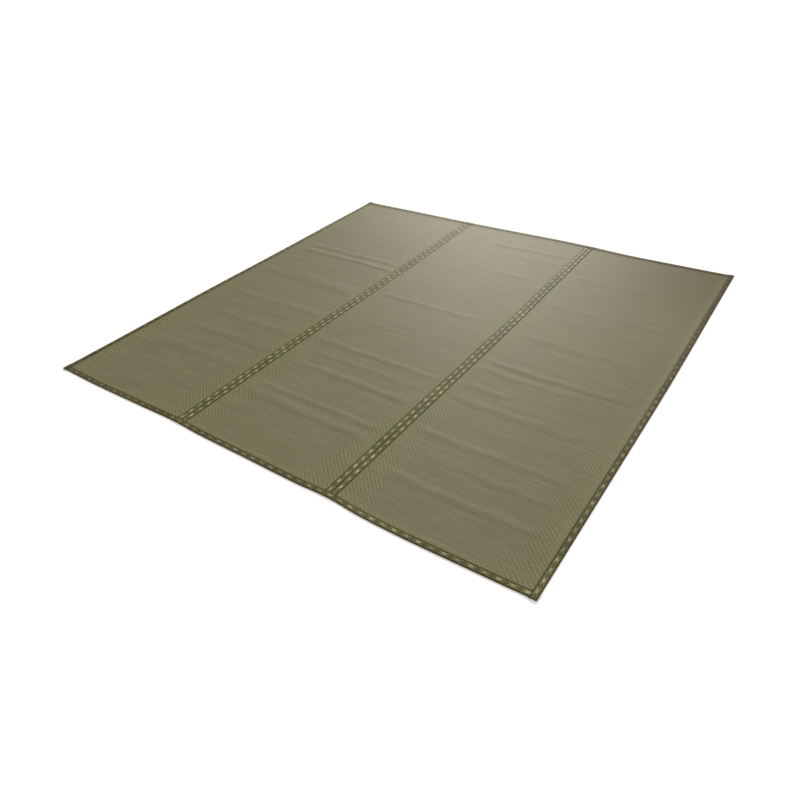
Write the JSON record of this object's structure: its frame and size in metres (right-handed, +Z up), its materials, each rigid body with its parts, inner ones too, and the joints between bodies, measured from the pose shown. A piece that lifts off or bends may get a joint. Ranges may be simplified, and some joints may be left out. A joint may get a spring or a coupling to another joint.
{
  "type": "tatami floor mat",
  "caption": "Square woven rush floor mat of panels joined side by side, with patterned cloth tape over the seams and folded round the edges, lying flat with soft ripples.",
  "frame": {"origin": "middle of the mat's bounding box, on the floor that it lies on", "axes": "+Z up off the floor; Y along the panels and their seams, with the front end at -Y; X across the panels"},
  "size_m": [2.616, 2.628, 0.0072],
  "materials": {
    "rush": "ribbed woven rush, olive straw, with a soft sheen",
    "tape": "woven cloth tape, dark olive green with pale straw motifs, matt"
  },
  "bodies": {
    "root": {"rush_panel_left": "rush", "rush_panel_middle": "rush", "rush_panel_right": "rush", "seam_tape_left": "tape", "seam_tape_right": "tape", "side_binding_left": "tape", "side_binding_right": "tape", "end_binding_front": "tape", "end_binding_back": "tape"}
  },
  "joints": []
}
